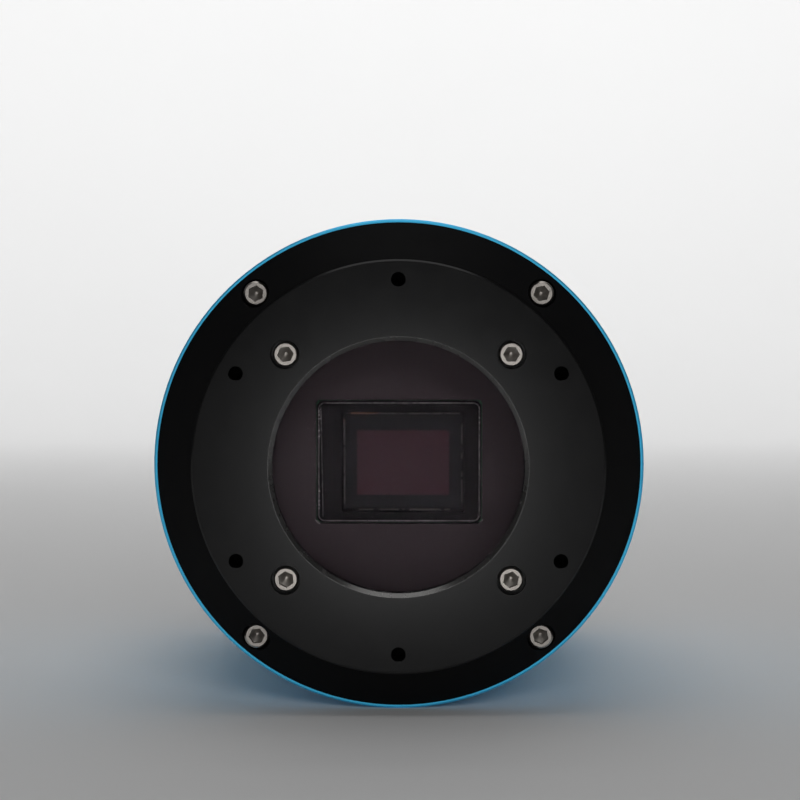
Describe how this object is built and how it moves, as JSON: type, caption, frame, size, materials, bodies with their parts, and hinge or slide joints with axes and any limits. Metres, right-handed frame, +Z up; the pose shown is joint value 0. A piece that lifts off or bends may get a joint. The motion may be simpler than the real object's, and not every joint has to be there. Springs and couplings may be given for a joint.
{
  "type": "cooled astronomy camera",
  "caption": "Round cooled astronomy camera: blue tube, black bevelled front with an adapter flange, sealed sensor chamber, two-stage cooler, heat sink, fan and rear sockets.",
  "frame": {"origin": "centre of the adapter flange's front face, on the optical axis", "axes": "-Y along the optical axis towards the telescope, +Y towards the fan and sockets, +Z up with the sockets at the bottom, +X to the right seen from the front"},
  "size_m": [0.09, 0.0975, 0.09],
  "materials": {
    "black_anodised": "matt black anodised aluminium, fine bead-blast",
    "blue_anodised": "satin sky-blue anodised aluminium",
    "screw_steel": "plain stainless steel",
    "black_steel": "black oxide",
    "seal_rubber": "moulded nitrile",
    "window_glass": "coated optical glass",
    "cover_glass": "coated thin glass with a ground edge",
    "heater_film": "polyimide film",
    "retainer_black": "matt black anodised",
    "mask_black": "dull black",
    "ceramic_dark": "dark ceramic",
    "silicon": "sensor surface, reddish brown in its active area",
    "spacer_brass": "turned",
    "board_green": "solder resist",
    "connector_black": "moulded black plastic",
    "chip_black": "moulded epoxy",
    "ribbon_film": "polyimide film",
    "copper": "bare copper",
    "cooler_ceramic": "white alumina",
    "pellet": "semiconductor legs",
    "lead_red": "silicone insulation",
    "lead_black": "vinyl insulation",
    "foam": "closed-cell foam",
    "desiccant": "woven sachet",
    "sink_aluminium": "milled",
    "socket_steel": "nickel-plated folded steel",
    "tongue_blue": "moulded blue plastic",
    "tongue_black": "moulded black plastic",
    "pin_metal": "polished steel",
    "led_clear": "diffused light pipe",
    "core_steel": "laminated steel and ferrite"
  },
  "bodies": {
    "camera": {"front_flange": "black_anodised", "front_cover": "black_anodised", "rear_cover": "black_anodised", "chamber_housing": "black_anodised", "body_shell": "blue_anodised", "flange_screws": "screw_steel", "cover_screws": "screw_steel", "rear_cover_screws": "screw_steel", "housing_screws": "screw_steel", "board_screws": "screw_steel", "sensor_board_screws": "screw_steel", "fan_guard": "black_steel", "fan_screws": "black_steel", "flange_seal": "seal_rubber", "window_seal": "seal_rubber", "housing_seal": "seal_rubber", "window_glass": "window_glass", "sensor_cover_glass": "cover_glass", "window_heater": "heater_film", "window_retainer": "retainer_black", "sensor_mask": "mask_black", "sensor_package": "ceramic_dark", "sensor_die": "silicon", "mask_spacers": "spacer_brass", "fan_bearing": "spacer_brass", "sensor_board": "board_green", "main_board": "board_green", "sensor_board_connector": "connector_black", "board_connectors": "connector_black", "power_socket": "connector_black", "fan_frame": "connector_black", "processor_chip": "chip_black", "memory_chips": "chip_black", "temperature_sensor": "chip_black", "sensor_ribbon": "ribbon_film", "cold_finger": "copper", "fan_coils": "copper", "cooler_cold_plate": "cooler_ceramic", "cooler_middle_plate": "cooler_ceramic", "cooler_hot_plate": "cooler_ceramic", "cooler_upper_pellets": "pellet", "cooler_lower_pellets": "pellet", "cooler_leads": "lead_red", "fan_lead": "lead_black", "insulation_ring": "foam", "desiccant_packs": "desiccant", "heat_sink": "sink_aluminium", "usb3_socket": "socket_steel", "usb_hub_sockets": "socket_steel", "usb3_tongue": "tongue_blue", "usb_hub_tongues": "tongue_black", "power_pin": "pin_metal", "status_led": "led_clear", "fan_stator_core": "core_steel"},
    "fan_rotor": {"fan_impeller": "connector_black", "fan_shaft": "pin_metal", "fan_magnet_ring": "core_steel", "fan_clip": "screw_steel"}
  },
  "joints": [
    {"name": "fan_spin", "type": "hinge", "parent": "camera", "child": "fan_rotor", "pos_m": [0, 0.084, 0.008], "axis": [0, 1, 0], "continuous": true}
  ]
}
